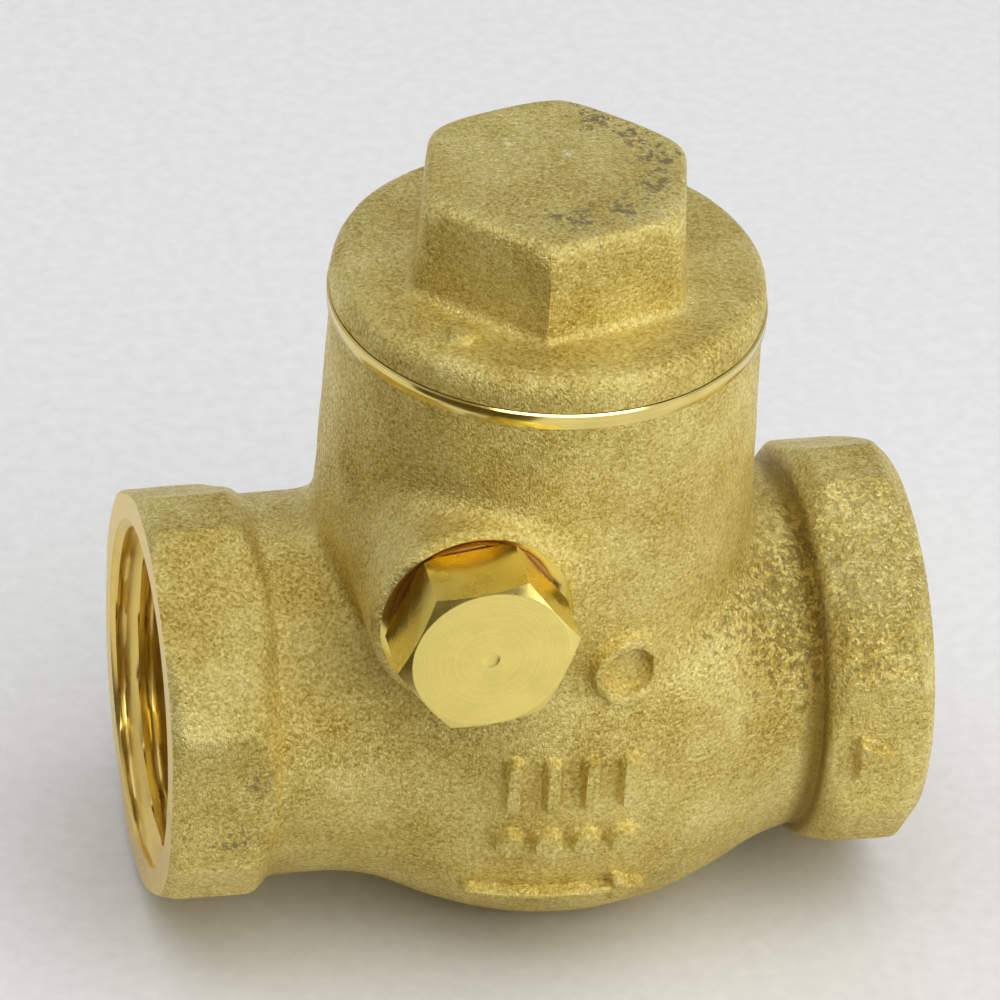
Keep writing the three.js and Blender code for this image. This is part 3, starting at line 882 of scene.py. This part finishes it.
def make_light():
    world = bpy.data.worlds.new("tent")
    bpy.context.scene.world = world
    world.use_nodes = True
    tree = world.node_tree
    background = tree.nodes["Background"]
    coordinates = add(tree, "ShaderNodeTexCoord")
    front = add(tree, "ShaderNodeVectorMath", {0: coordinates.outputs["Generated"]}, {1: DARK_SIDE},
                operation="DOT_PRODUCT").outputs["Value"]
    height = add(tree, "ShaderNodeSeparateXYZ", {"Vector": coordinates.outputs["Generated"]}).outputs["Z"]
    sky = ramp(tree, height, SKY_TONES)
    room = ramp(tree, front, ROOM_TONES)
    shade = add(tree, "ShaderNodeMix", {6: sky, 7: room}, {0: 1.0}, data_type="RGBA", blend_type="MULTIPLY")
    tree.links.new(shade.outputs[2], background.inputs["Color"])
    background.inputs["Strength"].default_value = 1.05
    area_light("right", (0.38, -0.25, 0.10), (0, 0, 0.03), (0.36, 0.16), 0.6, "metal")
    area_light("key", (0.03, -0.33, 0.47), (0, 0, 0.02), (0.55, 0.2), 1.8, "metal")
    area_light("floor_fill", (0.10, -0.30, 0.55), (0, 0, 0.0), (0.9, 0.9), 3.2, "floor")


def make_flag():
    """A dark card low at the front left, seen only in the metal."""
    material, tree, shader = node_tree("flag_felt")
    coordinates = add(tree, "ShaderNodeTexCoord")
    felt = add(tree, "ShaderNodeTexNoise", {"Vector": coordinates.outputs["Object"]}, {"Scale": 60.0})
    tree.links.new(ramp(tree, felt.outputs["Fac"], [(0.3, (0.06, 0.042, 0.008)), (0.7, (0.10, 0.07, 0.015))]),
                   shader.inputs["Base Color"])
    shader.inputs["Roughness"].default_value = 1.0
    corners = [(-0.011, -0.032, 0.008), (-0.048, -0.010, 0.008), (-0.03, -0.42, 0.16), (-0.42, -0.10, 0.16)]
    mesh = bpy.data.meshes.new("flag")
    mesh.from_pydata(corners, [], [(0, 1, 3, 2)])
    mesh.materials.append(material)
    flag = bpy.data.objects.new("flag", mesh)
    bpy.context.scene.collection.objects.link(flag)
    flag.visible_camera = False
    flag.visible_diffuse = False
    flag.visible_shadow = False


# ------------------------------------------------------------------ assembly

SKIN_STEP = 0.24

bright = (0.92, 0.74, 0.24)
STAIN = (0.31, 0.245, 0.11)
PALE = (0.98, 0.90, 0.45)
# The last list paints shade into the groove by the outlet hex.
cast = cast_brass("cast_brass", pebbled=[((20.4, -6.5, 10.4), 9.0), ((14.5, -8, 9.5), 4.0)],
                  stains=[((-20.0, -12.0, -2.5), 1.2, STAIN), ((-19.0, -12.0, 1.5), 1.0, STAIN)],
                  groove_shades=[(16.5, 11.6, 1.3)])
bore_metal = turned_metal("bore_brass", "x", (0, 0, 0), (0.93, 0.70, 0.20), 0.30)
rim_metal = turned_metal("rim_brass", "z", (0, 0, 0), bright, 0.15)
plug_metal = turned_metal("plug_brass", "y", (HINGE_X, 0, HINGE_Z), (0.92, 0.76, 0.22), 0.27)
steel = turned_metal("pin_steel", "y", (HINGE_X, 0, HINGE_Z), (0.70, 0.70, 0.68), 0.28)
disc_metal = turned_metal("disc_brass", "x", (0, 0, 0), (0.84, 0.66, 0.22), 0.26)
rubber = soft_material("seal_rubber", (0.012, 0.012, 0.012), (0.03, 0.03, 0.03), 0.7, 3.0, 0.00002)
copper = turned_metal("seal_copper", "y", (HINGE_X, 0, HINGE_Z), (0.66, 0.36, 0.12), 0.45)
fibre = soft_material("gasket_fibre", (0.10, 0.05, 0.03), (0.20, 0.11, 0.07), 0.85, 2.0, 0.00003)

body_piece(cast, bore_metal, rim_metal, plug_metal)
top_stains = [((5.6, -2.6), 1.3), ((6.6, 0.4), 1.6), ((5.4, 3.2), 1.3), ((3.4, 5.4), 1.3), ((0.4, -5.4), 1.2),
              ((3.2, -4.4), 1.2), ((-1.4, -5.0), 0.8), ((1.2, -8.2), 0.6)]
bonnet_stains = [((x, y, BONNET_TOP), radius, STAIN) for (x, y), radius in top_stains]
bonnet_stains += [((-2.0, 3.4, BONNET_TOP), 0.5, PALE), ((1.2, 1.6, BONNET_TOP), 0.5, PALE)]
bonnet_piece(cast_brass("bonnet_brass", stains=bonnet_stains), rim_metal)
plug_piece(plug_metal)

for node, material in (("bonnet_gasket", fibre), ("plug_gasket", copper), ("hinge_pin", steel),
                       ("hinge_arm", cast), ("disc", disc_metal), ("disc_seal", rubber),
                       ("seal_retainer", disc_metal), ("seal_screw", disc_metal), ("disc_washer", disc_metal),
                       ("disc_nut", disc_metal)):
    thing = frame["nodes"][node]
    for place in thing.material_slots:
        place.material = material

make_floor()
make_camera()
make_light()
make_flag()
bpy.context.scene.view_settings.view_transform = "Standard"
